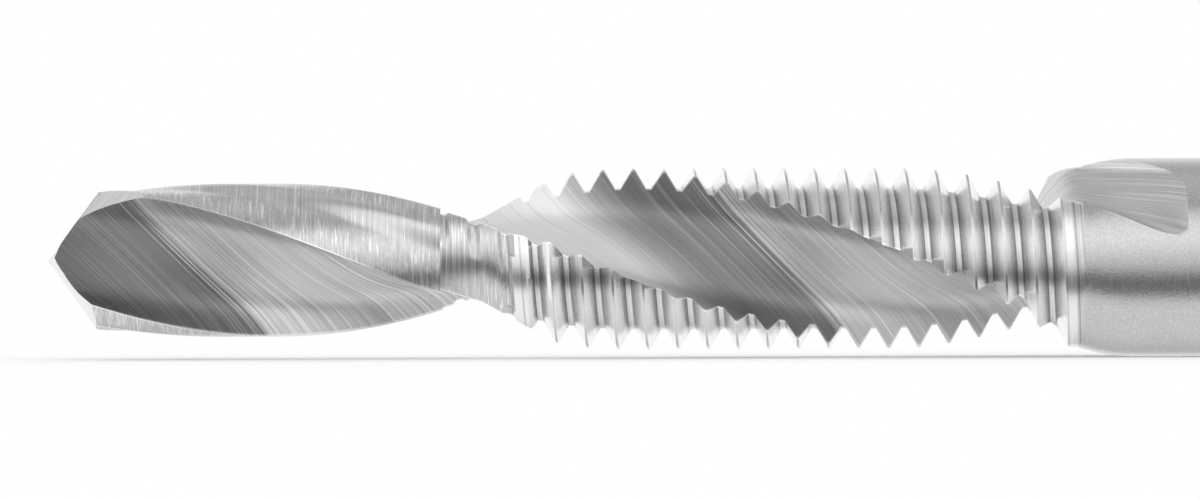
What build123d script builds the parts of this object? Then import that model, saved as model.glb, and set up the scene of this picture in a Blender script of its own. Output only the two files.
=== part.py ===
"""Combined drill and tap for M6 x 1, ground from one bar of high speed steel.

The tool is modelled standing on its point, with its axis along Z and heights measured from
the point. It is then laid down along X, point towards -X, with the centre of its drive end at
the origin. Lengths are millimetres and angles are degrees.
"""

import os
from math import atan2, ceil, cos, degrees, radians, sin, sqrt, tan

from build123d import *

# Drill
drill_diameter = 5.1
drill_length = 13.18
margin_sweep = 17.0
margin_fall_sweep = 20.0
land_clearance = 0.22

# Drill point
point_angle = 118.0
lip_relief_angle = 5.5
chisel_set_back = 0.12
heel_relief_angle = 61.0
heel_relief_turn = 105.0
heel_relief_set_back = 0.56

# Neck and tapered lead of the tap
neck_diameter = 4.96
neck_length = 2.35
neck_relief = 0.32
neck_edge_sweep = 4.0
neck_fall_sweep = 60.0
neck_overcut = 0.032
lead_angle = 18.0

# Thread
thread_diameter = 6.0
thread_pitch = 1.0
thread_length = 18.9
crest_flat = 0.08
root_flat = 0.17
thread_flank_angle = 30.0
root_facing_down_at = 0.58
plain_band = 0.7
first_groove_set_back = 0.25

# Flutes
flute_lead = 40.0
flute_facing_down_at = 8.13
flute_span_at_point = 109.8
flute_span_loss = 0.52
cutting_face_hook = 14.5
heel_face_lean = 11.1
wall_straightness = 0.75
bottom_roundness = 0.55
web_at_point = 0.95
web_growth = 0.025

# Where the grinding wheel draws back and leaves a pocket in the shoulder
runout_length = 2.2
runout_span_loss = 32.0
pocket_depth = 0.6
pocket_wheel_radius = 7.0

# Shank
shank_diameter = 6.6
shoulder_radius = 5.5
round_shank_length = 6.9
hex_across_flats = 6.35
hex_across_corners = 7.1
hex_length = 22.0
hex_chamfer = 0.45
hex_chamfer_angle = 30.0
detent_diameter = 4.9
detent_floor_length = 1.6
detent_side_angle = 40.0
detent_from_end = 11.0

# Cutters: the room they take outside the surface they cut, and how closely they are drawn
cutter_room = 0.4
rim_room = 0.1
cutter_sweep = 12.0
clearance_lean = 10.0
turn_between_sections = 30.0
runout_sections = 6
neck_sections = 8

# Heights along the axis, measured from the point
point_height = drill_diameter / 2 / tan(radians(point_angle / 2))
lead_start = drill_length + neck_length
lead_rise = (thread_diameter - neck_diameter) / 2
lead_end = lead_start + lead_rise / tan(radians(lead_angle))
thread_end = lead_start + thread_length
shoulder_rise = (shank_diameter - thread_diameter) / 2
shoulder_end = thread_end + sqrt(2 * shoulder_radius * shoulder_rise - shoulder_rise**2)
hex_start = shoulder_end + round_shank_length
overall_length = hex_start + hex_length

# Reach of the flute cutter, clear of the widest part that it leaves through
flute_reach = shank_diameter / 2 + cutter_room
runout_start = thread_end - runout_length


def polar(radius, angle):
    """A point at a radius and an angle round the tool's axis."""
    return Vector(radius * cos(radians(angle)), radius * sin(radians(angle)))


def reach(start, direction, radius):
    """Where the straight line that leaves a point in a direction gets to a radius."""
    along = start.dot(direction)
    return start + direction * (sqrt(along**2 - start.dot(start) + radius**2) - along)


def at_height(section, height, turn):
    """A section drawn at the point, turned and carried up to its height."""
    return section.moved(Location((0, 0, height), (0, 0, turn)))


def heights(start, end, step):
    """Evenly spaced heights from start to end, no further apart than the step."""
    count = ceil((end - start) / step)
    return [start + (end - start) * i / count for i in range(count + 1)]


def edge_turn(height):
    """Angle of the first flute's cutting edge, taken at the thread's full diameter."""
    return 360 * (height - flute_facing_down_at) / flute_lead


def cutting_face_angle(radius):
    """How far behind that edge the hooked cutting face meets a smaller radius."""
    edge = reach(polar(thread_diameter / 2, 0), polar(1, -cutting_face_hook), radius)
    return degrees(atan2(edge.Y, edge.X))


def runout_share(height):
    """How much of the wheel's drawing back is done, easing from 0 to 1 at the shoulder."""
    share = min(1, max(0, height - runout_start) / runout_length)
    return share * share * (3 - 2 * share)


def flute_span(height):
    """Angle that the flute opens at the thread's full diameter, less as the web grows."""
    return flute_span_at_point - flute_span_loss * height - runout_span_loss * runout_share(height)


def web_radius(height):
    """Half the web's thickness: it grows, is left by the wheel, and ends on the wheel's rim."""
    web = (web_at_point + web_growth * height) / 2
    pocket_floor = thread_diameter / 2 - pocket_depth
    past = max(0, height - thread_end)
    rim = pocket_wheel_radius - sqrt(pocket_wheel_radius**2 - past**2)
    return web + (pocket_floor - web) * runout_share(height) + rim


def flute_end():
    """Height at which the wheel's rim is clear of the shank but not yet of the cutter's reach."""
    depth = flute_reach - rim_room - web_radius(thread_end)
    return thread_end + sqrt(2 * pocket_wheel_radius * depth - depth**2)


def flute_section(height):
    """Outline of what the wheel takes out: hooked cutting face, round bottom and leaning heel."""
    span = flute_span(height)
    web = web_radius(height)
    face_out = polar(1, -cutting_face_hook)
    heel_out = polar(1, heel_face_lean - span)
    bottom_way = polar(1, -span / 2 - 90)
    face_top = reach(polar(thread_diameter / 2, 0), face_out, flute_reach)
    heel_top = reach(polar(thread_diameter / 2, -span), heel_out, flute_reach)
    bottom = polar(web, -span / 2)
    wall_pull = wall_straightness * (flute_reach - web)
    bottom_pull = bottom_roundness * (flute_reach - web)
    face = Bezier(face_top, face_top - face_out * wall_pull, bottom - bottom_way * bottom_pull, bottom)
    heel = Bezier(bottom, bottom + bottom_way * bottom_pull, heel_top - heel_out * wall_pull, heel_top)
    outside = polar(2 * flute_reach, -span / 2)
    outline = Wire([face, heel, Line(heel_top, outside), Line(outside, face_top)])
    return at_height(outline, height, edge_turn(height))


def helical_heights(start, end):
    """Heights for the sections of a cutter that winds with the flutes."""
    return heights(start, end, flute_lead * turn_between_sections / 360)


def flute():
    """One helical flute from below the point to where the wheel runs out in the shank."""
    straight = helical_heights(-point_height, runout_start)
    drawing_back = heights(runout_start, thread_end, runout_length / runout_sections)
    leaving = heights(thread_end, flute_end(), (flute_end() - thread_end) / runout_sections)
    return Solid.make_loft([flute_section(h) for h in straight + drawing_back[1:] + leaving[1:]])


def blank():
    """The turned bar: point, drill, neck, lead, thread diameter, shoulder and round shank."""
    drill = drill_diameter / 2
    neck = neck_diameter / 2
    thread = thread_diameter / 2
    shank = shank_diameter / 2
    with BuildPart() as bar:
        with BuildSketch(Plane.XZ):
            with BuildLine():
                Polyline((0, 0), (drill, point_height), (drill, drill_length), (neck, drill_length))
                Polyline((neck, drill_length), (neck, lead_start), (thread, lead_end), (thread, thread_end))
                RadiusArc((thread, thread_end), (shank, shoulder_end), -shoulder_radius)
                Polyline((shank, shoulder_end), (shank, hex_start), (0, hex_start), (0, 0))
            make_face()
        revolve(axis=Axis.Z)
    return bar.part.solid()


def flank_waste(turn):
    """What grinding one flank takes off: all outside a cone that is tipped back behind the lip.

    The cone's own tip lies a little across the chisel edge, so the two flanks meet in a ridge.
    """
    wide = 2 * drill_diameter
    tall = wide / tan(radians(point_angle / 2))
    chisel_turn = flute_span(0) / 2
    cone = Solid.make_cone(0, wide, tall).rotate(Axis.X, lip_relief_angle)
    cone = cone.moved(Location(polar(chisel_set_back, -chisel_turn - 90)))
    half = Solid.make_box(2 * wide, wide, 4 * point_height)
    half = half.moved(Location((-wide, 0, -2 * point_height))).rotate(Axis.Z, -chisel_turn)
    return (half - cone).rotate(Axis.Z, turn)


def heel_waste(turn):
    """The flat, steep clearance at the heel of one flank, facing away from its lip."""
    wide = 4 * drill_diameter
    slab = Solid.make_box(wide, wide, wide).moved(Location((-wide / 2, -wide / 2, -wide)))
    tipped = slab.rotate(Axis.Y, -heel_relief_angle).rotate(Axis.Z, heel_relief_turn + turn)
    return tipped.moved(Location((0, 0, -heel_relief_set_back)))


def clearance(heights_up, floor_radius, strip_radius, strip_sweep, fall_sweep):
    """Cutter that lowers one land behind a strip left at full radius by the cutting edge."""
    strip_end = cutting_face_angle(strip_radius) + strip_sweep
    floor_start = strip_end + fall_sweep
    floor_end = 180 - flute_span(heights_up[0]) + cutter_sweep
    sky = strip_radius + cutter_room

    def section(height):
        low = floor_radius(height)
        drop = Spline(
            polar(strip_radius, strip_end),
            polar(low, floor_start),
            tangents=[polar(1, strip_end + 90 - clearance_lean), polar(1, floor_start + 90)],
        )
        floor = CenterArc((0, 0), low, floor_start, floor_end - floor_start)
        way_out = Line(polar(low, floor_end), polar(sky, floor_end))
        over = CenterArc((0, 0), sky, floor_end, strip_end - floor_end)
        way_in = Line(polar(sky, strip_end), polar(strip_radius, strip_end))
        outline = Wire([drop, floor, way_out, over, way_in])
        return at_height(outline, height, edge_turn(height))

    return Solid.make_loft([section(height) for height in heights_up])


def drill_clearance():
    """Body clearance of the drill, behind its narrow margin."""
    floor = drill_diameter / 2 - land_clearance
    up = helical_heights(point_height / 2, drill_length)
    return clearance(up, lambda height: floor, drill_diameter / 2, margin_sweep, margin_fall_sweep)


def neck_clearance():
    """Relief of the neck, which starts right behind the edge and ends where the lead starts."""
    full = neck_diameter / 2
    lead_run = neck_relief / tan(radians(lead_angle))

    def floor(height):
        rise = max(0, height - lead_start + lead_run) / lead_run
        return full - neck_relief + (neck_relief + neck_overcut) * rise

    up = heights(drill_length, lead_start, neck_length / neck_sections)
    return clearance(up, floor, full, neck_edge_sweep, neck_fall_sweep)


def groove_turn(height):
    """Angle of the thread groove's middle at a height."""
    return 360 * (height - root_facing_down_at) / thread_pitch


def open_flute_height(lowest):
    """First height, from the lowest one, at which the groove's middle lies in an open flute."""
    gap_turn = edge_turn(lowest) - flute_span(lowest) / 2
    behind = (gap_turn - groove_turn(lowest)) % 180
    return lowest + behind / (360 / thread_pitch - 360 / flute_lead)


def groove_profile():
    """The space between two threads, from the root to just outside the crests."""
    flank = tan(radians(thread_flank_angle))
    root = thread_diameter / 2 - (1 - crest_flat - root_flat) * thread_pitch / 2 / flank
    top = thread_diameter / 2 + crest_flat * thread_pitch / 3 / flank
    root_half = root_flat * thread_pitch / 2
    top_half = root_half + (top - root) * flank
    corners = [(root, -root_half), (top, -top_half), (top, top_half), (root, root_half)]
    return Wire.make_polygon([(radius, 0, height) for radius, height in corners])


def groove_pass(rise):
    """One pass of the grinding wheel along the thread, winding up round the axis by a rise."""
    profile = groove_profile()
    rises = heights(0, rise, thread_pitch * turn_between_sections / 360)
    return Solid.make_loft([at_height(profile, up, 360 * up / thread_pitch) for up in rises])


def thread_groove():
    """The helical groove in passes, each across one land from one open flute to the next."""
    start = open_flute_height(drill_length - first_groove_set_back)
    end = thread_end - plain_band
    rise = 180 / (360 / thread_pitch - 360 / flute_lead)
    one_pass = groove_pass(rise)
    begins = [start + rise * i for i in range(int((end - start) / rise))]
    return [at_height(one_pass, height, groove_turn(height) % 360) for height in begins]


def detent_corners():
    """Half section of the detent groove, a floor between two sloping sides."""
    middle = overall_length - detent_from_end
    floor = detent_diameter / 2
    outside = hex_across_corners / 2 + cutter_room
    half_floor = detent_floor_length / 2
    half_mouth = half_floor + (outside - floor) * tan(radians(detent_side_angle))
    return [
        (floor, middle - half_floor),
        (outside, middle - half_mouth),
        (outside, middle + half_mouth),
        (floor, middle + half_floor),
    ]


def hex_drive():
    """The hexagon that the driver holds, with chamfered ends and a groove for its detent ball."""
    corner = hex_across_corners / 2
    low_corner = corner - hex_chamfer
    slope = hex_chamfer / tan(radians(hex_chamfer_angle))
    with BuildPart() as drive:
        with BuildSketch(Plane.XY.offset(hex_start)):
            RegularPolygon(hex_across_flats / 2, 6, major_radius=False, rotation=30)
        extrude(amount=hex_length)
        with BuildSketch(Plane.XZ):
            with BuildLine():
                Polyline(
                    (0, hex_start),
                    (low_corner, hex_start),
                    (corner, hex_start + slope),
                    (corner, overall_length - slope),
                    (low_corner, overall_length),
                    (0, overall_length),
                    close=True,
                )
            make_face()
        revolve(axis=Axis.Z, mode=Mode.INTERSECT)
        with BuildSketch(Plane.XZ):
            with BuildLine():
                Polyline(detent_corners(), close=True)
            make_face()
        revolve(axis=Axis.Z, mode=Mode.SUBTRACT)
    return drive.part.solid()


def drill_tap_bit():
    """The whole tool, cut from its blank in the order in which it is ground."""
    tool = blank()
    lip_turn = edge_turn(point_height)
    for cutter in (flute(), drill_clearance(), neck_clearance(), flank_waste(lip_turn), heel_waste(lip_turn)):
        for side in (cutter, cutter.rotate(Axis.Z, 180)):
            tool = tool - side
    tool = tool - thread_groove()
    tool = tool + hex_drive()
    laid_down = tool.rotate(Axis.Y, 90)
    return laid_down.moved(Location((-overall_length, 0, 0))).solid()


def main():
    os.makedirs("parts", exist_ok=True)
    tool = drill_tap_bit()
    export_step(tool, "parts/drill_tap_bit.step")
    size = tool.bounding_box().size
    print(f"drill_tap_bit {size.X:.2f} x {size.Y:.2f} x {size.Z:.2f} mm, {tool.volume:.1f} mm3")


main()
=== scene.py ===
# %% [markdown]
# # A combined drill and tap in ground steel
#
# The object is one bar of high speed steel: a drill point, a fluted drill, a short neck, a tapered
# lead, a thread cut only on the two lands, a shoulder with two pockets where the grinding wheel left,
# a round shank and a hex drive. There is nothing to join, so the lesson is about one clean surface,
# and about how ground steel gets its look from its surroundings.

import math

import bmesh
import bpy
import numpy as np
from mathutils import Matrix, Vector


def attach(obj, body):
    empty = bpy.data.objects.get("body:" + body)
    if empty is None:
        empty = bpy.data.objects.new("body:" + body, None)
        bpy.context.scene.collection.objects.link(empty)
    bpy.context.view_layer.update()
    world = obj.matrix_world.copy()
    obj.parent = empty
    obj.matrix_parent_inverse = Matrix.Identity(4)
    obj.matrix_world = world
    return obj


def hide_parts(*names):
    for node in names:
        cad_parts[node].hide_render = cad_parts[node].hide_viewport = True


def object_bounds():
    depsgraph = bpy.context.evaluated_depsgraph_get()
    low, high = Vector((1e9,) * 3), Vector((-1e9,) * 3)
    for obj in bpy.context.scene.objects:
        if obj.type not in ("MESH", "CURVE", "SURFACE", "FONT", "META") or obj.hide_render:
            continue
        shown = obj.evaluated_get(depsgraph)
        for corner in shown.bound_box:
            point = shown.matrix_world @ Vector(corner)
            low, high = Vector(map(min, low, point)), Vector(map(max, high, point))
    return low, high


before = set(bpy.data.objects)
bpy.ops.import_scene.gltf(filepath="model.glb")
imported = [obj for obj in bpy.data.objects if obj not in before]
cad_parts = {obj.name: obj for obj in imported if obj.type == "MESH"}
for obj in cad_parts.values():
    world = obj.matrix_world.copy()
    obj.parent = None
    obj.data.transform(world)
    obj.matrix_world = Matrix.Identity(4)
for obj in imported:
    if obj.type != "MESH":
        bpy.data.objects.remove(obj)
cad_low, cad_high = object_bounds()
print("solid in mm:", [round(1000 * (high - low), 2) for low, high in zip(cad_low, cad_high)])

# %% [markdown]
# ## The sizes the surface follows
#
# The solid's own mesh is made for size and weight, with facets that a mirror-like metal would show.
# The piece that stands for it is woven again from the same rules: every ring round the tool has the
# same points in the same order, so edges run along the mesh and nothing looks faceted. Geometry Nodes
# suit what repeats, but here flutes, lands and thread cut each other and no turn is like the last, so
# arrays of points that follow from the sizes are simpler. Sizes are in millimetres and degrees, and
# heights are measured along the axis from the point.

# %% Sizes of the bar and the thread
drill_radius, drill_end = 2.55, 13.18
neck_radius, neck_end = 2.48, 15.53
lead_slope = math.tan(math.radians(18))
thread_radius, thread_end, pitch = 3.0, 34.43, 1.0
crest_flat, root_flat, root_at = 0.08, 0.17, 0.58
first_groove, last_groove = 12.93, 33.73
shank_radius, shank_length, hex_length = 3.3, 6.9, 22.0
shoulder_radius, shoulder_rise = 5.5, shank_radius - thread_radius
shoulder_end = thread_end + math.sqrt(2 * shoulder_radius * shoulder_rise - shoulder_rise**2)
hex_start = shoulder_end + shank_length
tool_end = hex_start + hex_length
print("tool length from its sizes:", round(tool_end, 3), "mm")

# %% [markdown]
# ## The flute's section
#
# A flute is ground by a wheel that travels along a helix. Cut across, it shows a hooked cutting face,
# a round bottom and a leaning heel, over a web of steel that gets thicker towards the shank. The same
# section turned 9 degrees for every millimetre gives the whole flute. Near the shoulder the wheel
# draws back, so the section narrows and its bottom lifts.

# %% Width and depth of the flute along the tool
flute_lead, flute_at = 40.0, 8.13
opening, opening_loss, runout_loss = 109.8, 0.52, 32.0
web_at_point, web_growth = 0.95, 0.025
runout_length, pocket_floor, wheel_radius = 2.2, 2.4, 7.0
runout_start = thread_end - runout_length


def soft_step(value):
    """0 to 1 with level ends."""
    value = np.clip(value, 0, 1)
    return value * value * (3 - 2 * value)


def runout_share(height):
    """0 before the wheel draws back, 1 where it stays in the pocket."""
    return soft_step((height - runout_start) / runout_length)


def flute_span(height):
    """Angle between the flute's two edges."""
    return opening - opening_loss * height - runout_loss * runout_share(height)


def web_radius(height):
    """How far the flute's bottom is from the axis."""
    web = (web_at_point + web_growth * height) / 2
    past = np.clip(height - thread_end, 0, wheel_radius)
    rim = wheel_radius - np.sqrt(wheel_radius**2 - past**2)
    return web + (pocket_floor - web) * runout_share(height) + rim


print("flute opens", round(float(flute_span(np.array(20.0))), 1), "degrees at mid length")

# %% [markdown]
# Two Bezier curves that share their tangent at the bottom draw the section: one up the cutting face,
# one up the heel. The hook and the lean set the way they leave the steel, and the two pulls set how
# full they are.

# %% One point of the flute's outline, from heel (-1) over the bottom (0) to cutting face (1)
hook, heel_lean = 14.5, 11.1
bottom_pull, top_pull = 0.55, 0.75
cutter_reach = shank_radius + 0.4
halvings = 26


def polar(radius, angle):
    """Points at radii and angles (degrees) round the axis."""
    turn = np.radians(angle)
    return np.stack([radius * np.cos(turn), radius * np.sin(turn)], -1)


def reach(start, way, radius):
    """Where a straight line from start gets to a radius."""
    along = np.sum(start * way, -1)
    far = np.sqrt(along**2 - np.sum(start**2, -1) + radius**2) - along
    return start + way * far[..., None]


def flute_point(height, place):
    """Points of the outline at heights and places, in a frame that turns with the flute."""
    height, place = np.broadcast_arrays(np.asarray(height, float), np.asarray(place, float))
    span, web = flute_span(height), web_radius(height)
    face = place > 0
    way = np.where(face[..., None], polar(1.0, np.full_like(span, -hook)), polar(1.0, heel_lean - span))
    edge = polar(thread_radius, np.where(face, 0.0, -span))
    top = reach(edge, way, cutter_reach)
    bottom = polar(web, -span / 2)
    bottom_way = polar(1.0, -span / 2 - 90) * np.where(face, -1.0, 1.0)[..., None]
    depth = (cutter_reach - web)[..., None]
    t = np.abs(place)[..., None]
    pulled_bottom = bottom + bottom_way * bottom_pull * depth
    pulled_top = top - way * top_pull * depth
    return (
        (1 - t) ** 3 * bottom
        + 3 * (1 - t) ** 2 * t * pulled_bottom
        + 3 * (1 - t) * t**2 * pulled_top
        + t**3 * top
    )


def place_at_radius(height, radius, side):
    """The place on the cutting face (side 1) or heel (side -1) where the outline meets a radius."""
    low, high = np.zeros_like(height), np.ones_like(height)
    for _ in range(halvings):
        middle = (low + high) / 2
        inside = np.linalg.norm(flute_point(height, side * middle), axis=-1) < radius
        low, high = np.where(inside, middle, low), np.where(inside, high, middle)
    return side * low


trial_place = place_at_radius(np.array([8.0]), drill_radius, 1)
print("the cutting face meets the drill's outside at place", round(float(trial_place[0]), 3))

# %% [markdown]
# ## The lands
#
# Between the flutes stand two lands. Their outside is the turned bar, lowered behind the drill's
# narrow margin and behind the neck's edge.

# %% Radius of the turned bar, and how far a land lies below it
margin_turn, margin_fade, body_clearance = 20.0, 20.0, 0.22
neck_edge_turn, neck_fade, neck_relief = 7.5, 60.0, 0.32


def blank_radius(height):
    """The bar before anything is cut into it."""
    lead = np.minimum(neck_radius + (height - neck_end) * lead_slope, thread_radius)
    into_shoulder = np.clip(shoulder_end - height, 0, shoulder_end - thread_end)
    shoulder = shank_radius - shoulder_radius + np.sqrt(shoulder_radius**2 - into_shoulder**2)
    radius = np.where(height < neck_end, neck_radius, lead)
    radius = np.where(height > thread_end, shoulder, radius)
    return np.where(height <= drill_end, drill_radius, radius)


def relief(height, behind):
    """How much lower a land is, at an angle behind its cutting edge."""
    drill = body_clearance * soft_step((behind - margin_turn) / margin_fade)
    fade = np.clip((neck_end - height) / (neck_relief / lead_slope), 0, 1)
    neck = neck_relief * fade * soft_step((behind - neck_edge_turn) / neck_fade)
    return np.where(height <= drill_end, drill, np.where(height < neck_end, neck, 0.0))


print("bar at the end of the thread:", round(float(blank_radius(np.array(thread_end))), 3), "mm")

# %% [markdown]
# The thread's groove is a V at 60 degrees with a flat root. Its phase tells how far a point is from
# the middle of a groove, counted in pitches, so the same few lines give every turn of the thread. A
# groove is cut into a land only where it reaches that land between the thread's two ends.

# %% The thread's groove in the lands
phase_per_mm = 1 / pitch - 1 / flute_lead
groove_slope = math.sqrt(3) * pitch
root_radius = thread_radius - (1 - crest_flat - root_flat) / 2 * groove_slope


def phase(height, around):
    """Distance from a groove's middle in pitches, at an angle that turns with the flutes."""
    return (height - root_at) / pitch - (height - flute_at) / flute_lead - around / 360


def height_of(phase_value, around):
    """The height at which a line of constant phase crosses that angle."""
    start = phase_value + root_at / pitch - flute_at / flute_lead + around / 360
    return start / phase_per_mm


def land_radius(height, around, land):
    """Outside radius of a land (0 behind the first cutting edge, 1 behind the second)."""
    radius = blank_radius(height) - relief(height, around - 180.0 * land)
    place = phase(height, around)
    number = np.round(place)
    gap_at = 180.0 * land - flute_span(height) / 2
    gap = height_of(number, gap_at)
    rise = 0.5 / phase_per_mm
    cut = (gap >= first_groove) & (gap + rise <= last_groove) & (height > drill_end)
    groove = root_radius + np.maximum(np.abs(place - number) - root_flat / 2, 0) * groove_slope
    return np.where(cut, np.minimum(radius, groove), radius)


print("thread root radius:", round(root_radius, 3), "mm")

# %% [markdown]
# ## The drill's point
#
# Each flank is part of a cone that leans back, so the steel falls away behind the lip, and a steep
# flat takes the heel off. Seen from the point, both are a height over the plane across the axis, and
# the higher one is what is left. The two flanks meet in the chisel edge.

# %% Height of the ground point over the plane across the axis
point_half, flank_lean, tip_back = math.radians(59), math.radians(5.5), 0.12
heel_steep, heel_turn, heel_drop = math.radians(61), math.radians(105), 0.56
half_chisel = math.radians(float(flute_span(np.array(0.0))) / 2)
tip = polar(tip_back, -math.degrees(half_chisel) - 90)


def edge_turn(height):
    """Angle of the first flute's cutting edge."""
    return 360 * (height - flute_at) / flute_lead


def flank_height(x, y):
    """Height of one flank; x runs along its lip and y away from it."""
    dx, dy = x - tip[0], y - tip[1]
    narrow = math.cos(point_half) ** 2
    a = math.cos(flank_lean) ** 2 - narrow
    b = dy * math.sin(flank_lean) * math.cos(flank_lean)
    c = (dy * math.sin(flank_lean)) ** 2 - (dx**2 + dy**2) * narrow
    return (b + np.sqrt(np.maximum(b * b - a * c, 0))) / a


def point_height(flat):
    """Height at which the flanks leave the steel, for points across the axis."""
    lip_turn = math.radians(edge_turn(drill_radius / math.tan(point_half)))
    highest = np.linalg.norm(flat, axis=-1) / math.tan(point_half)
    for turn in (lip_turn, lip_turn + math.pi):
        x = flat[..., 0] * math.cos(turn) + flat[..., 1] * math.sin(turn)
        y = flat[..., 1] * math.cos(turn) - flat[..., 0] * math.sin(turn)
        own_side = y * math.cos(half_chisel) + x * math.sin(half_chisel) >= -1e-9
        highest = np.where(own_side, np.maximum(highest, flank_height(x, y)), highest)
        heel = math.tan(heel_steep) * (x * math.cos(heel_turn) + y * math.sin(heel_turn)) - heel_drop
        highest = np.maximum(highest, heel)
    return highest


print("chisel edge at", round(float(point_height(np.zeros((1, 2)))[0]), 3), "mm")

# %% [markdown]
# ## Rings of points
#
# A ring goes once round the tool: heel to cutting face of one flute, over its land, then the same
# again on the other side. First it has to be known where each flute meets its lands. That point's
# angle, height and radius depend on each other, so they are worked out in turn until they agree.

# %% Where a flute meets the land
half_flute, land_count = 20, 41
side_count = 2 * half_flute + land_count
beside_face, beside_edge = 0.035, 0.02
across_half = np.append(np.linspace(0, 1 - beside_face, half_flute), 1.0)
inside_land = np.linspace(beside_edge, 1 - beside_edge, land_count - 1)
across_land = np.concatenate([[0.0], inside_land, [1.0]])
edge_rounds, heel_guess = 6, 90.0


def angle_of(flat):
    """Angle of points in the frame that turns with the flute."""
    return np.degrees(np.arctan2(flat[..., 1], flat[..., 0]))


def edge_of(level, rows, flute, which):
    """Angle and place where a flute meets the land at its cutting face (1) or heel (-1)."""
    land = flute if which > 0 else flute - 1
    column = flute * side_count + (2 * half_flute if which > 0 else 0)
    around = np.full(rows, 180.0 * flute - (0 if which > 0 else heel_guess))
    for _ in range(edge_rounds):
        height = level(around, column)
        radius = land_radius(height, around, land)
        is_open = web_radius(height) < radius
        place = np.where(is_open, place_at_radius(height, radius, which), 0.0)
        around = 180.0 * flute + angle_of(flute_point(height, place))
    return around, place, is_open


print("points in a ring:", 2 * side_count)

# %% [markdown]
# In the thread a ring isn't level but climbs with the groove, so crests and roots are whole lines of
# the mesh. The rule for a ring's height is handed in as a function. Rings that would pass the
# thread's ends are pressed flat against them, and the doubled points are merged later.

# %% One ring, level or climbing with the thread
place_rounds, flute_guess, hair = 5, 45.0, 1e-6


def rings(level, rows):
    """Radius, angle in the turning frame and height of the rings' points, heel to heel."""
    parts = []
    for flute in (0, 1):
        first = flute * side_count
        face_at, face_place, is_open = edge_of(level, rows, flute, 1)
        _, heel_place, _ = edge_of(level, rows, flute, -1)
        next_heel, _, _ = edge_of(level, rows, flute + 1, -1)
        places = np.hstack([heel_place[:, None] * across_half[::-1], face_place[:, None] * across_half[1:]])
        around = np.full(places.shape, 180.0 * flute - flute_guess)
        columns = np.arange(first, first + 2 * half_flute + 1)
        for _ in range(place_rounds):
            height = level(around, columns)
            flat = flute_point(height, places)
            around = 180.0 * flute + angle_of(flat)
        on_bar = land_radius(height, around, flute)
        parts.append((np.where(is_open[:, None], np.linalg.norm(flat, axis=-1), on_bar), around, height))
        around = face_at[:, None] + (next_heel - face_at)[:, None] * across_land[1:-1]
        height = level(around, np.arange(first + 2 * half_flute + 1, first + side_count))
        parts.append((land_radius(height, around, flute), around, height))
    around = next_heel[:, None]
    height = level(next_heel, 2 * side_count)[:, None]
    parts.append((land_radius(height, around, 1), around, height))
    return [np.hstack(values) for values in zip(*parts)]


def spread(values, around):
    """One value for each ring, given to all its points."""
    return (values if around.ndim == 1 else values[:, None]) + 0 * around


def level_rings(heights):
    """Rings square to the axis."""
    return rings(lambda around, column: spread(heights, around), len(heights))


def climbing_rings(phases):
    """Rings that follow the thread, pressed flat at the thread's two ends."""
    def level(around, column):
        return np.clip(height_of(spread(phases, around), around), drill_end + hair, thread_end)
    return rings(level, len(phases))


trial_radii = level_rings(np.array([8.0]))[0]
print("ring at 8 mm: radii", round(float(trial_radii.min()), 2), "to", round(float(trial_radii.max()), 2))

# %% [markdown]
# The rings near the point are pressed onto the flanks. A point's place depends on its height and the
# flank's height on its place, so here too the two are worked out in turn until they agree.

# %% Rings of the point and the drill
point_top, point_step, point_rounds, below_point = 3.5, 0.12, 24, -9.0
drill_ring_count = 60


def rings_on_point(lowest):
    """Level rings, raised to the flanks wherever those lie higher."""
    raised = np.repeat(lowest[:, None], 2 * side_count + 1, axis=1)
    def level(around, column):
        return raised[:, column] + 0 * around
    for _ in range(point_rounds):
        radius, around, height = rings(level, len(lowest))
        flat = polar(radius, around + edge_turn(height))
        raised = np.maximum(lowest[:, None], point_height(flat))
        raised[:, -1] = raised[:, 0]
    return rings(level, len(lowest))


point_rings = rings_on_point(np.append(below_point, np.arange(0.1, point_top - 0.05, point_step)))
drill_rings = level_rings(np.linspace(point_top, drill_end, drill_ring_count))
flank_heights = point_rings[2][0]
print("flanks reach from", round(float(flank_heights.min()), 2), "to", round(float(flank_heights.max()), 2))

# %% [markdown]
# In the thread, eight rings to a pitch are placed on the corners of the groove's profile and between
# them. Beyond the thread the rings are level again, closer together where the pocket ends.

# %% Rings of the thread, the shoulder and the pocket
corner, crest = root_flat / 2, 0.5 - crest_flat / 2
low_flank, high_flank = 0.21, 0.335
going_up = np.array([-corner, corner, low_flank, high_flank, crest])
going_down = 1 - np.array([crest, high_flank, low_flank])
groove_numbers = np.arange(11, 34)
phases = (groove_numbers[:, None] + np.concatenate([going_up, going_down])).ravel()
thread_rings = climbing_rings(phases)

pocket_depth = shank_radius - pocket_floor
pocket_end = thread_end + math.sqrt(2 * wheel_radius * pocket_depth - pocket_depth**2)
fluted_end = pocket_end + 0.02
shoulder_ring_count, crowding = 34, 1.6
toward_end = 1 - (1 - np.linspace(0, 1, shoulder_ring_count)) ** crowding
shoulder_rings = level_rings(thread_end + (fluted_end - thread_end) * toward_end)
print("rings:", [len(part[0]) for part in (point_rings, drill_rings, thread_rings, shoulder_rings)])

# %% [markdown]
# ## Shank and hex drive
#
# A hexagon's outline is its half width over the cosine of the angle to the nearest flat. The bar that
# it is milled from, the chamfers and the detent groove only limit that radius, so one formula gives
# the whole drive.

# %% Outline of the hex drive
hex_half, hex_bar_radius = 3.175, 3.55
end_corner, chamfer_slope = 3.1, math.tan(math.radians(30))
detent_at, detent_half, detent_radius, detent_slope = 11.0, 0.8, 2.45, math.tan(math.radians(40))


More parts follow.
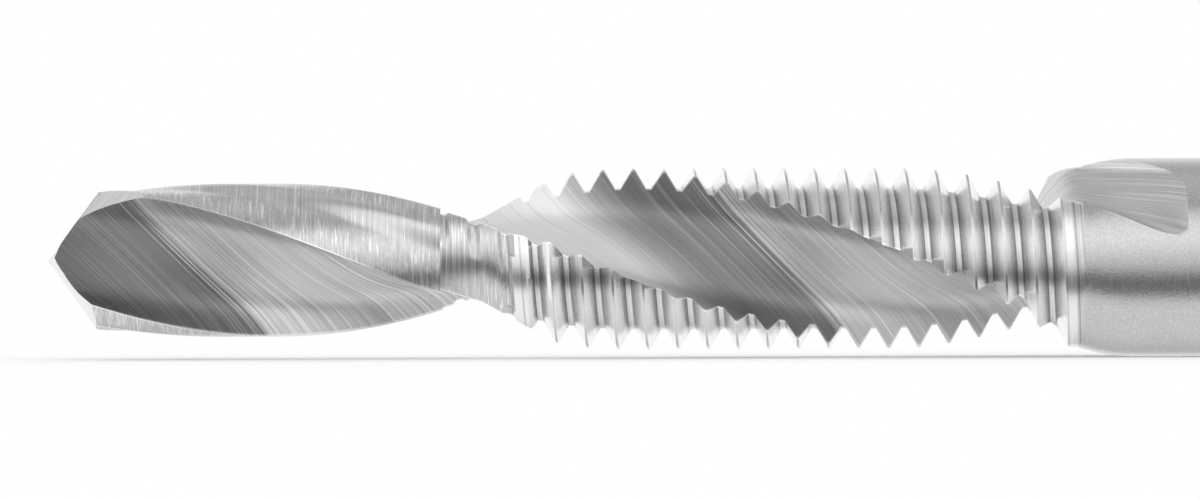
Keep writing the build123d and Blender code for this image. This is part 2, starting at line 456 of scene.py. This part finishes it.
def hex_radius(turn, height):
    """Outline of the hex drive, with chamfered ends and a groove for the driver's detent ball."""
    to_flat = np.radians((turn + 30.0) % 60.0 - 30.0)
    chamfer = end_corner + np.minimum(height - hex_start, tool_end - height) * chamfer_slope
    away = np.maximum(np.abs(height - tool_end + detent_at) - detent_half, 0)
    detent = detent_radius + away / detent_slope
    bar = np.full_like(height, hex_bar_radius)
    return np.minimum.reduce([hex_half / np.cos(to_flat), chamfer, detent, bar])


print("hex drive:", 2 * hex_half, "mm across flats")

# %% [markdown]
# Past the pocket the rings are plain circles. Their points slide round a little from ring to ring,
# until they are evenly spaced and one lies on each corner of the hexagon. The last three rings shrink
# to the middle of the flat end.

# %% Rings of the round shank and the hex drive
ring_points = 2 * side_count + 1
step = 360.0 / (2 * side_count)
last_turn = shoulder_rings[1][-1] + edge_turn(shoulder_rings[2][-1])
even_turn = step * np.arange(ring_points)
even_turn = even_turn + 30 + step * round((float(np.mean(last_turn - even_turn)) - 30) / step)

slide = np.linspace(0, 1, 12)[1:, None]
shank_turn = last_turn + (even_turn - last_turn) * slide
shank_height = fluted_end + (hex_start - fluted_end) * np.repeat(slide, ring_points, 1)

chamfer_heights, plain_heights = np.linspace(0, 0.8, 7), np.linspace(1.6, 8.0, 5)
hex_heights = np.concatenate([
    hex_start + chamfer_heights,
    hex_start + plain_heights,
    tool_end - detent_at + np.linspace(-2.2, 2.2, 23),
    tool_end - plain_heights[::-1],
    tool_end - chamfer_heights[::-1],
])[:, None] + 0 * even_turn
hex_turn = np.repeat(even_turn[None], len(hex_heights), 0)

end_radius = np.array([2.2, 1.1, 0.0])[:, None] + 0 * even_turn
end_height = np.full_like(end_radius, tool_end)
print("hex drive corners:", round(float(hex_radius(hex_turn, hex_heights).max()), 3), "mm from the axis")

# %% [markdown]
# ## One mesh with a finish for each ground surface
#
# Every point also gets a pair of numbers called the lay: how far across the grinding lines it is, and
# how far along them, in millimetres. In the flutes the lines cross the helix at an angle, on the
# lands they follow the thread, and in the pocket they run along the tool.

# %% The lay of the fluted part
line_slant, line_drift = 1.11, 0.3
fluted = [point_rings, drill_rings, thread_rings, shoulder_rings]
radius, around, height = [np.vstack(values) for values in zip(*fluted)]
turn = around + edge_turn(height)
flute_number = np.repeat([0, 1], [side_count, side_count + 1])
middle = np.radians(around - 180.0 * flute_number + flute_span(height) / 2 - 90)
sideways = radius * np.cos(middle)
lay_flute = np.stack([height - line_slant * sideways, sideways + line_drift * height], -1)
lay_pocket = np.stack([sideways, height], -1)
groove_lay = np.where(height > neck_end, phase(height, around) * pitch, height)
lay_land = np.stack([groove_lay, radius * np.radians(around)], -1)
print("lay across the flutes:", round(float(lay_flute[..., 0].min()), 1), "to",
      round(float(lay_flute[..., 0].max()), 1), "mm")

# %% [markdown]
# The rings of shank and drive join the same sheet. The cutting edges are whole columns of it, where
# faces and heels meet the lands, and are marked as worn edges with a painted highlight as far as the
# thread goes.

# %% The sheet of rings
shank_radii = np.full_like(shank_turn, shank_radius)
radius = np.vstack([radius, shank_radii, hex_radius(hex_turn, hex_heights), end_radius])
height = np.vstack([height, shank_height, hex_heights, end_height])
plain_turn = np.vstack([shank_turn, hex_turn, np.repeat(even_turn[None], len(end_radius), 0)])
turn = np.vstack([turn, plain_turn])
plain_lay = np.stack([height[-len(plain_turn):], shank_radius * np.radians(plain_turn)], -1)
lay_flute, lay_pocket, lay_land = [
    np.vstack([lay, plain_lay]) for lay in (lay_flute, lay_pocket, lay_land)
]


def place_points(radius, turn, height):
    """Points in metres, lying along X with the point towards -X."""
    angle = np.radians(turn)
    return np.stack([height - tool_end, radius * np.sin(angle), -radius * np.cos(angle)], -1) / 1000


points = place_points(radius, turn, height)
rows, across = height.shape
cutting_rows = rows - len(plain_turn) - len(shoulder_rings[0])
edge_columns = [0, 2 * half_flute, side_count, side_count + 2 * half_flute, 2 * side_count]
# Cutting edges that get the worn edges' painted highlight
worn_and_highlight = np.zeros((rows, across))
worn_and_highlight[:cutting_rows, edge_columns] = 1.0
print("sheet of", rows, "rings,", across, "points each")

# %% [markdown]
# Rings side by side make four-sided faces. Each face gets the finish of the surface that it belongs
# to, and the lay that goes with that finish.

# %% Faces with their finishes
finishes = ["flute", "land", "thread", "shank", "pocket", "flank", "hex"]
number_of = {name: number for number, name in enumerate(finishes)}
pocket_reach = 1.5
corners = np.arange(rows * across).reshape(rows, across)
faces = np.stack([corners[:-1, :-1], corners[:-1, 1:], corners[1:, 1:], corners[1:, :-1]], -1)
row_height = height[:-1, :-1]
is_flute = (np.arange(across - 1) % side_count < 2 * half_flute)[None] & (row_height < hex_start)
in_flute = np.where(row_height > thread_end - pocket_reach, number_of["pocket"], number_of["flute"])
finish = np.where(row_height < neck_end, number_of["land"], number_of["thread"])
finish = np.where(row_height > thread_end - 1e-3, number_of["shank"], finish)
finish = np.where(is_flute, in_flute, finish)
finish[-len(plain_turn):] = number_of["shank"]
finish[-(len(hex_turn) + len(end_radius)):] = number_of["hex"]

lay = lay_land.reshape(-1, 2)[faces]
for name, own_lay in (("flute", lay_flute), ("pocket", lay_pocket)):
    is_own = (finish == number_of[name])[..., None, None]
    lay = np.where(is_own, own_lay.reshape(-1, 2)[faces], lay)
end_faces = faces[-len(end_radius):]
lay[-len(end_radius):] = polar(radius, turn).reshape(-1, 2)[end_faces]

all_points, all_faces, all_worn_and_highlight = [points.reshape(-1, 3)], [faces.reshape(-1, 4)], [worn_and_highlight.ravel()]
all_lays, all_finishes = [lay.reshape(-1, 4, 2)], [finish.ravel()]
print("faces of the sheet:", len(all_faces[0]))

# %% [markdown]
# The point's flanks close the sheet at the front. Each land's end is bridged from the cutting face of
# one flute to the heel of the other, and every bridge point is raised to the flank's own height.

# %% The two flanks of the point
lip_length = 4.0
flat = polar(radius[0], turn[0])
up_half = np.arange(half_flute + 1)


def flank_sheet(first, next_bottom):
    """Points across the axis on one flank, and the way from its lip to its heel."""
    cutting = flat[first + half_flute + up_half]
    heel = flat[next_bottom - up_half]
    chord = cutting[:, None] + (heel - cutting)[:, None] * across_land[None, :, None]
    bulge = flat[first + 2 * half_flute:first + side_count + 1] - chord[-1]
    return chord + bulge[None] * ((up_half / half_flute) ** 2)[:, None, None], heel[-1] - cutting[-1]


for first, next_bottom in ((0, side_count + half_flute), (side_count, half_flute)):
    sheet, way_across = flank_sheet(first, next_bottom)
    away, angle = np.linalg.norm(sheet, axis=-1), angle_of(sheet)
    start = sum(len(part) for part in all_points)
    grid = start + np.arange(away.size).reshape(away.shape)
    cap = np.stack([grid[:-1, :-1], grid[1:, :-1], grid[1:, 1:], grid[:-1, 1:]], -1).reshape(-1, 4)
    # Edges of the flank that get the worn edges' painted highlight
    cap_worn_and_highlight = np.zeros(away.shape)
    cap_worn_and_highlight[-1], cap_worn_and_highlight[:, 0] = 1.0, 1.0
    cap_lay = np.stack([sheet @ way_across / lip_length, away], -1).reshape(-1, 2)
    all_points.append(place_points(away, angle, point_height(sheet)).reshape(-1, 3))
    all_faces.append(cap)
    all_worn_and_highlight.append(cap_worn_and_highlight.ravel())
    all_lays.append(cap_lay[cap - start])
    all_finishes.append(np.full(len(cap), number_of["flank"]))
print("faces:", sum(len(part) for part in all_faces))

# %% [markdown]
# The mesh takes the points and faces as they are. The lay becomes a UV map, the worn edges with their
# painted highlight a value on the points, and each face keeps the number of its finish.

# %% The mesh with its lay, finishes and worn edges for the painted highlight
mesh = bpy.data.meshes.new("drill_tap_surface")
mesh.from_pydata(np.vstack(all_points).tolist(), [], np.vstack(all_faces).tolist())
lay_map = mesh.uv_layers.new(name="lay")
lay_map.data.foreach_set("uv", np.vstack(all_lays).reshape(-1).astype(np.float32))
mesh.polygons.foreach_set("material_index", np.concatenate(all_finishes).astype(np.int32))
mesh.attributes.new("worn_edge_and_highlight", "FLOAT", "POINT").data.foreach_set("value", np.concatenate(all_worn_and_highlight))
tool = bpy.data.objects.new("drill_tap_surface", mesh)
bpy.context.scene.collection.objects.link(tool)
print("points before merging:", len(mesh.vertices))

# %% [markdown]
# The doubled points where rings were pressed together are merged, which also closes the seam along
# the tool. Edges sharper than 28 degrees stay crisp: the lips, the thread's crests and roots, and
# the edges of flutes and flats.

# %% The finished tool, closed and with crisp edges
merge_distance, empty_edge = 8e-7, 1e-8
sharp_angle = math.radians(28)
work = bmesh.new()
work.from_mesh(mesh)
bmesh.ops.remove_doubles(work, verts=work.verts, dist=merge_distance)
bmesh.ops.dissolve_degenerate(work, edges=work.edges, dist=empty_edge)
bmesh.ops.recalc_face_normals(work, faces=work.faces)
open_edges = sum(1 for edge in work.edges if not edge.is_manifold)
if work.calc_volume(signed=True) < 0:
    bmesh.ops.reverse_faces(work, faces=work.faces)
print("volume", round(work.calc_volume() * 1e9, 1), "mm3, open edges", open_edges)
work.to_mesh(mesh)
work.free()
mesh.polygons.foreach_set("use_smooth", np.ones(len(mesh.polygons), bool))
mesh.set_sharp_from_angle(angle=sharp_angle)
print("triangles:", sum(len(face.vertices) - 2 for face in mesh.polygons))

# %% [markdown]
# ## What grinding leaves
#
# Effects that several finishes share are built once, as shader groups with named inputs. These
# helpers keep their code short: one makes a group, the others add a single node and give its output.

# %% Helpers for shader nodes
def new_group(name, sockets_in, sockets_out):
    """A shader group with named float sockets."""
    group = bpy.data.node_groups.new(name, "ShaderNodeTree")
    for socket, value in sockets_in.items():
        made = group.interface.new_socket(socket, in_out="INPUT", socket_type="NodeSocketFloat")
        made.default_value = value
    for socket in sockets_out:
        group.interface.new_socket(socket, in_out="OUTPUT", socket_type="NodeSocketFloat")
    return group, group.nodes.new("NodeGroupInput"), group.nodes.new("NodeGroupOutput")


def math_node(tree, operation, first, second=None, third=None):
    """A Math node whose inputs are sockets or numbers; gives its output."""
    node = tree.nodes.new("ShaderNodeMath")
    node.operation = operation
    for socket, value in zip(node.inputs, (first, second, third)):
        if value is None:
            continue
        if isinstance(value, (int, float)):
            socket.default_value = value
        else:
            tree.links.new(value, socket)
    return node.outputs[0]


def noise(tree, vector, detail, rough, dimensions="3D"):
    """A Noise Texture's value, with spots about as large as the vector's unit."""
    node = tree.nodes.new("ShaderNodeTexNoise")
    node.noise_dimensions = dimensions
    node.inputs["Scale"].default_value = 1.0
    node.inputs["Detail"].default_value = detail
    node.inputs["Roughness"].default_value = rough
    tree.links.new(vector, node.inputs["Vector"])
    return node.outputs["Fac"]


def stretch_range(tree, value, low, high):
    """Bring the part of a noise's range from low to high to 0 to 1."""
    node = tree.nodes.new("ShaderNodeMapRange")
    node.inputs["From Min"].default_value, node.inputs["From Max"].default_value = low, high
    tree.links.new(value, node.inputs["Value"])
    return node.outputs[0]


def lay_sockets(tree):
    """How far across (first) and along (second) the grinding lines a point is."""
    lay_uv = tree.nodes.new("ShaderNodeUVMap")
    lay_uv.uv_map = "lay"
    split = tree.nodes.new("ShaderNodeSeparateXYZ")
    tree.links.new(lay_uv.outputs[0], split.inputs[0])
    return split.outputs


print("helpers for nodes are ready")

# %% [markdown]
# A ground surface is covered with fine parallel scratches, some deeper than others. One shader group
# makes them for every finish: noise that is squeezed across the lay and stretched along it, at two
# sizes. It gives a height for the bump and the colour, and a second value that picks out the few
# brightest streaks.

# %% Shader group: grinding lines along the lay
lines_group, lines_in, lines_out = new_group(
    "grinding lines", {"Width": 0.08, "Length": 2.0}, ["Height", "Streak"]
)
line_lay = lay_sockets(lines_group)
fine_width_share, fine_share = 0.35, 0.45


def stretched(width):
    """The lay in units of a line's width and length."""
    join = lines_group.nodes.new("ShaderNodeCombineXYZ")
    across_lines = math_node(lines_group, "DIVIDE", line_lay[0], width)
    along_lines = math_node(lines_group, "DIVIDE", line_lay[1], lines_in.outputs["Length"])
    lines_group.links.new(across_lines, join.inputs[0])
    lines_group.links.new(along_lines, join.inputs[1])
    return join.outputs[0]


fine_width = math_node(lines_group, "MULTIPLY", lines_in.outputs["Width"], fine_width_share)
coarse = noise(lines_group, stretched(lines_in.outputs["Width"]), 4.0, 0.65, "2D")
fine = noise(lines_group, stretched(fine_width), 2.0, 0.5, "2D")
fine_part = math_node(lines_group, "MULTIPLY", fine, fine_share)
both = math_node(lines_group, "MULTIPLY_ADD", coarse, 1 - fine_share, fine_part)
lines_group.links.new(stretch_range(lines_group, both, 0.36, 0.64), lines_out.inputs["Height"])
lines_group.links.new(stretch_range(lines_group, fine, 0.62, 0.74), lines_out.inputs["Streak"])
print("shader group:", lines_group.name)

# %% [markdown]
# The round shank isn't bright ground but satin, with the fine grain that tumbling leaves. Its group
# reads object coordinates, so the grain has no direction and no seam.

# %% Shader group: satin grain
grain_group, grain_in, grain_out = new_group("satin grain", {"Size": 0.1}, ["Height", "Fleck"])
where = grain_group.nodes.new("ShaderNodeTexCoord")
shrink = grain_group.nodes.new("ShaderNodeVectorMath")
shrink.operation = "SCALE"
grain_group.links.new(where.outputs["Object"], shrink.inputs[0])
grains_per_metre = math_node(grain_group, "DIVIDE", 1000.0, grain_in.outputs["Size"])
grain_group.links.new(grains_per_metre, shrink.inputs["Scale"])
grain = noise(grain_group, shrink.outputs[0], 3.0, 0.6)
grain_group.links.new(grain, grain_out.inputs["Height"])
grain_group.links.new(stretch_range(grain_group, grain, 0.45, 0.75), grain_out.inputs["Fleck"])
print("shader group:", grain_group.name)

# %% [markdown]
# Handling and regrinding polish the cutting edges. They catch the light as thin bright lines, and here
# that is a painted highlight added to the colour. The mesh carries a value that is 1 on those edges and
# 0 everywhere else, and the last group narrows it.

# %% Shader group: worn edges with a painted highlight
wear_and_highlight_group, _, wear_and_highlight_out = new_group("edge wear and highlight", {}, ["Shine"])
on_edge = wear_and_highlight_group.nodes.new("ShaderNodeAttribute")
on_edge.attribute_name = "worn_edge_and_highlight"
narrowed = math_node(wear_and_highlight_group, "POWER", on_edge.outputs["Fac"], 1.6)
wear_and_highlight_group.links.new(narrowed, wear_and_highlight_out.inputs["Shine"])
print("shader group:", wear_and_highlight_group.name)

# %% [markdown]
# ## The finishes
#
# All are the same steel. They differ in how wide, long and deep the lines are and in how much grain
# there is. Metal has no colour of its own beyond its reflection's tint, so the base colour is a
# neutral grey and the roughness does the rest.

# %% One material for a finish
streak_strength, fleck_strength, rough_range, bump_distance = 1.5, 0.05, 0.08, 1e-6


def steel(name, lines, grain, roughness, grey, contrast):
    """Steel with lines (width, length, depth), grain (size, depth) and light and dark streaks."""
    width, length, line_depth = lines
    size, grain_depth = grain
    material = bpy.data.materials.new(name)
    material.use_nodes = True
    tree = material.node_tree
    shader = tree.nodes["Principled BSDF"]
    shader.inputs["Metallic"].default_value = 1.0
    scratch = tree.nodes.new("ShaderNodeGroup")
    scratch.node_tree = lines_group
    scratch.inputs["Width"].default_value, scratch.inputs["Length"].default_value = width, length
    satin = tree.nodes.new("ShaderNodeGroup")
    satin.node_tree = grain_group
    satin.inputs["Size"].default_value = size
    shade = math_node(tree, "MULTIPLY_ADD", scratch.outputs["Height"], contrast, 1 - contrast / 2)
    shade = math_node(tree, "MULTIPLY_ADD", scratch.outputs["Streak"], streak_strength * contrast, shade)
    shade = math_node(tree, "MULTIPLY_ADD", satin.outputs["Fleck"], fleck_strength * grain_depth, shade)
    shade = math_node(tree, "MULTIPLY", shade, grey)
    least_rough = roughness - rough_range / 2
    rough = math_node(tree, "MULTIPLY_ADD", scratch.outputs["Height"], rough_range, least_rough)
    tree.links.new(rough, shader.inputs["Roughness"])
    depth = math_node(tree, "MULTIPLY", scratch.outputs["Height"], line_depth)
    depth = math_node(tree, "MULTIPLY_ADD", satin.outputs["Height"], grain_depth, depth)
    bump = tree.nodes.new("ShaderNodeBump")
    bump.inputs["Distance"].default_value = bump_distance
    tree.links.new(depth, bump.inputs["Height"])
    tree.links.new(bump.outputs[0], shader.inputs["Normal"])
    return material, scratch, shade


steels = {
    "flute": steel("flute_ground", (0.24, 9.0, 2.5), (0.12, 0.6), 0.50, 1.0, 0.34),
    "land": steel("land_ground", (0.18, 0.9, 9.0), (0.2, 1.0), 0.27, 0.64, 0.34),
    "thread": steel("thread_ground", (0.07, 1.5, 1.5), (0.2, 1.0), 0.24, 0.95, 0.12),
    "shank": steel("shank_satin", (0.10, 0.6, 0.5), (0.08, 4.5), 0.23, 0.58, 0.06),
    "pocket": steel("pocket_ground", (0.13, 7.0, 2.5), (0.2, 0.6), 0.32, 0.66, 0.26),
    "flank": steel("flank_ground", (0.13, 4.0, 2.5), (0.2, 0.6), 0.30, 0.92, 0.16),
    "hex": steel("hex_satin", (0.12, 1.5, 2.0), (0.12, 2.0), 0.28, 0.60, 0.10),
}
print("materials:", ", ".join(material.name for material, _, _ in steels.values()))

# %% [markdown]
# The worn edges, with their painted highlight, are laid over each finish. Flutes and thread get theirs
# later, because their steel first gets painted shade in places.

# %% Worn edges with a painted highlight over the even finishes
edge_highlight_strength, brightest = 0.9, 0.97


def paint_shade_and_worn_edge_highlight(kind, factor=1.0):
    """Darken a finish with painted shade by a factor or socket, then add a painted highlight on its worn
    edges.
    """
    material, _, shade = steels[kind]
    tree = material.node_tree
    wear_and_highlight_here = tree.nodes.new("ShaderNodeGroup")
    wear_and_highlight_here.node_tree = wear_and_highlight_group
    shine = math_node(tree, "MULTIPLY", wear_and_highlight_here.outputs["Shine"], edge_highlight_strength)
    shade = math_node(tree, "MULTIPLY_ADD", shade, factor, shine)
    shade = math_node(tree, "MINIMUM", shade, brightest)
    tree.links.new(shade, tree.nodes["Principled BSDF"].inputs["Base Color"])


even_kinds = ("land", "shank", "pocket", "flank", "hex")
for kind in even_kinds:
    paint_shade_and_worn_edge_highlight(kind)
print("even finishes:", len(even_kinds))

# %% [markdown]
# The flutes aren't evenly bright. Their broad dark and light bands are painted shade and painted
# reflection, and they run with the grinding lines. The bands are placed across the lines in
# millimetres, and the scratches break up their edges.

# %% Painted shade and reflection bands in the flutes
painted_band_start, painted_band_range, painted_band_scatter = -5.0, 40.0, 0.9
# Greys of the painted shade and reflection bands, at places across the lines in millimetres
painted_band_greys = [(-5, 0.27), (1.5, 0.23), (4.6, 0.25), (5.2, 0.72), (8, 0.70), (12, 0.62), (14, 1.0)]
painted_band_greys += [(18.6, 1.0), (20.2, 0.45), (21.2, 0.27), (24, 0.29), (24.7, 0.74), (28, 0.62), (33, 0.52)]


def grey_ramp(tree, place, greys):
    """A colour ramp through pairs of place and grey; gives its colour."""
    node = tree.nodes.new("ShaderNodeValToRGB")
    tree.links.new(place, node.inputs[0])
    elements = node.color_ramp.elements
    while len(elements) < len(greys):
        elements.new(0.5)
    for element, (at, grey) in zip(elements, greys):
        element.position = at
        element.color = (grey, grey, grey, 1)
    return node.outputs["Color"]


flute_material, flute_scratch, _ = steels["flute"]
tree = flute_material.node_tree
scratches = flute_scratch.outputs["Height"]
broken = math_node(tree, "MULTIPLY_ADD", scratches, painted_band_scatter, lay_sockets(tree)[0])
shift = -(painted_band_start + painted_band_scatter / 2) / painted_band_range
painted_band_place = math_node(tree, "MULTIPLY_ADD", broken, 1 / painted_band_range, shift)
painted_band_stops = [((at - painted_band_start) / painted_band_range, grey) for at, grey in painted_band_greys]
paint_shade_and_worn_edge_highlight("flute", grey_ramp(tree, painted_band_place, painted_band_stops))
print("bands:", len(painted_band_greys))

# %% [markdown]
# The thread is bright on its flanks. Painted shade makes each root darker, with darker lines in both
# its corners, and puts a dark line on each crest; one flank is painted a little darker than the other.
# The place within a pitch, 0 in the middle of a root, is all that the ramp needs.

# %% Painted shade in the thread's roots and crests
# Greys of the painted shade at places within a pitch, counted from the middle of a root
painted_groove_shade_greys = [(0.0, 0.80), (0.075, 0.72), (0.105, 0.46), (0.18, 0.97), (0.45, 1.0), (0.50, 0.62)]
painted_groove_shade_greys += [(0.56, 0.97), (0.78, 0.92), (0.895, 0.38), (0.925, 0.70)]
tree = steels["thread"][0].node_tree
in_groove = math_node(tree, "FRACT", lay_sockets(tree)[0])
paint_shade_and_worn_edge_highlight("thread", grey_ramp(tree, in_groove, painted_groove_shade_greys))
print("greys in a pitch:", len(painted_groove_shade_greys))

# %% [markdown]
# The finishes go onto the mesh in the order in which its faces were numbered. The piece stands for the
# solid's node, so the node is hidden and the piece joins the root body.

# %% Finishes onto the mesh
for name in finishes:
    mesh.materials.append(steels[name][0])
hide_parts("drill_tap_bit")
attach(tool, "root")
print("finishes:", ", ".join(finishes))

# %% [markdown]
# ## Floor and studio
#
# Bright steel shows what stands round it. A white room alone would leave it white and shapeless, so
# it lies in a light tent, as a photographer builds for metal. The floor is white and catches the
# shadow. Reflections don't see it: below the tool they see the tent's white lower side.

# %% Floor
floor_half = 3.0
floor_level = -shank_radius / 1000
floor_corners = [
    (side * floor_half, end * floor_half, floor_level)
    for side, end in ((-1, -1), (1, -1), (1, 1), (-1, 1))
]
floor_mesh = bpy.data.meshes.new("floor")
floor_mesh.from_pydata(floor_corners, [], [(0, 1, 2, 3)])
floor = bpy.data.objects.new("floor", floor_mesh)
bpy.context.scene.collection.objects.link(floor)
floor_paint = bpy.data.materials.new("floor_paint")
floor_paint.use_nodes = True
paint = floor_paint.node_tree.nodes["Principled BSDF"]
paint.inputs["Base Color"].default_value = (1, 1, 1, 1)
paint.inputs["Roughness"].default_value = 0.9
paint.inputs["Specular IOR Level"].default_value = 0.0
floor_mesh.materials.append(floor_paint)
floor.visible_glossy = False
print("floor at", round(1000 * floor_level, 2), "mm")

# %% [markdown]
# The tent is cloth bent round the tool, most of a cylinder along X: brightest high in front, grey
# overhead, a dark strip low in front that draws the long dark line along the tool, and white again
# below. How much it glows is a value on its points, in pairs of an angle above the line from the tool
# to the front and a strength. It changes evenly from one strip to the next, so reflections have soft
# edges, as from lamps behind cloth.

# %% The light tent's shape
tent_glow = [(-150, 0.62), (-136, 0.67), (-120, 0.80), (-96, 0.92), (-60, 0.95), (-50, 0.85), (-46, 0.45)]
tent_glow += [(-40, 0.20), (-26, 0.20), (-19, 0.42), (-12, 0.72), (-5, 0.84), (2, 0.90), (9, 1.05)]
tent_glow += [(16, 1.20), (30, 1.22), (44, 1.05), (52, 0.85), (60, 0.50), (70, 0.52), (81, 0.62)]
tent_glow += [(101, 0.66), (126, 0.55), (145, 0.80), (150, 0.85)]
tent_radius, tent_low, tent_high = 0.26, -0.465, 0.375
tent_points = []
for angle, _ in tent_glow:
    y, z = -tent_radius * math.cos(math.radians(angle)), tent_radius * math.sin(math.radians(angle))
    tent_points += [(tent_low, y, z), (tent_high, y, z)]
tent_faces = [(2 * i, 2 * i + 1, 2 * i + 3, 2 * i + 2) for i in range(len(tent_glow) - 1)]
tent_mesh = bpy.data.meshes.new("light_tent")
tent_mesh.from_pydata(tent_points, [], tent_faces)
glow = tent_mesh.attributes.new("glow", "FLOAT", "POINT")
glow.data.foreach_set("value", np.repeat([strength for _, strength in tent_glow], 2))
tent = bpy.data.objects.new("light_tent", tent_mesh)
bpy.context.scene.collection.objects.link(tent)
print("tent strips:", len(tent_faces))

# %% [markdown]
# One emission material reads that value. The camera, the light on the floor and the shadows don't
# meet the tent: only reflections do.

# %% The light tent's cloth
cloth = bpy.data.materials.new("tent_cloth")
cloth.use_nodes = True
cloth_tree = cloth.node_tree
cloth_tree.nodes.clear()
glow_value = cloth_tree.nodes.new("ShaderNodeAttribute")
glow_value.attribute_name = "glow"
shine = cloth_tree.nodes.new("ShaderNodeEmission")
cloth_out = cloth_tree.nodes.new("ShaderNodeOutputMaterial")
cloth_tree.links.new(glow_value.outputs["Fac"], shine.inputs["Strength"])
cloth_tree.links.new(shine.outputs[0], cloth_out.inputs["Surface"])
tent_mesh.materials.append(cloth)
tent.visible_camera = False
tent.visible_diffuse = False
tent.visible_shadow = False
print("cloth:", cloth.name)

# %% [markdown]
# Past the tent's ends and behind the tool the room is evenly white, so edge-on surfaces fade into the
# background as they do in the photograph.

# %% White room
world = bpy.data.worlds.new("room")
bpy.context.scene.world = world
world.use_nodes = True
sky = world.node_tree
sky.nodes.clear()
back = sky.nodes.new("ShaderNodeBackground")
back.inputs["Color"].default_value = (1, 1, 1, 1)
back.inputs["Strength"].default_value = 1.0
room = sky.nodes.new("ShaderNodeOutputWorld")
sky.links.new(back.outputs[0], room.inputs["Surface"])
print("the room is white")

# %% [markdown]
# ## Camera
#
# The photograph is taken square to the tool from some distance, so the lens is long. At its full 1200
# pixels a millimetre is 30 pixels wide, and the tool rises a fifth of a degree to the right. The tip's
# column and one place on the axis set the camera's middle.

# %% Camera square to the tool
photo_columns, photo_rows, pixels_per_mm = 1200, 498, 30.0
tip_column, axis_column, axis_row = 48.5, 51, 260.9
rise = math.radians(0.2)
lens, sensor_width = 250.0, 36.0
distance = photo_columns / pixels_per_mm / 1000 * lens / sensor_width
middle_row = axis_row - (photo_columns / 2 - axis_column) * math.tan(rise)
centre_x = cad_low[0] + (photo_columns / 2 - tip_column) / pixels_per_mm / 1000
centre_z = (middle_row - photo_rows / 2) / pixels_per_mm / 1000
camera_data = bpy.data.cameras.new("camera")
camera_data.lens = lens
camera_data.sensor_width = sensor_width
camera_data.clip_start = 0.01
camera = bpy.data.objects.new("camera", camera_data)
bpy.context.scene.collection.objects.link(camera)
camera.location = Vector((centre_x, -distance, centre_z))
camera.rotation_euler = (math.radians(90), rise, 0)
bpy.context.scene.camera = camera
bpy.context.scene.view_settings.view_transform = "Standard"
print("camera", round(distance, 3), "m away")
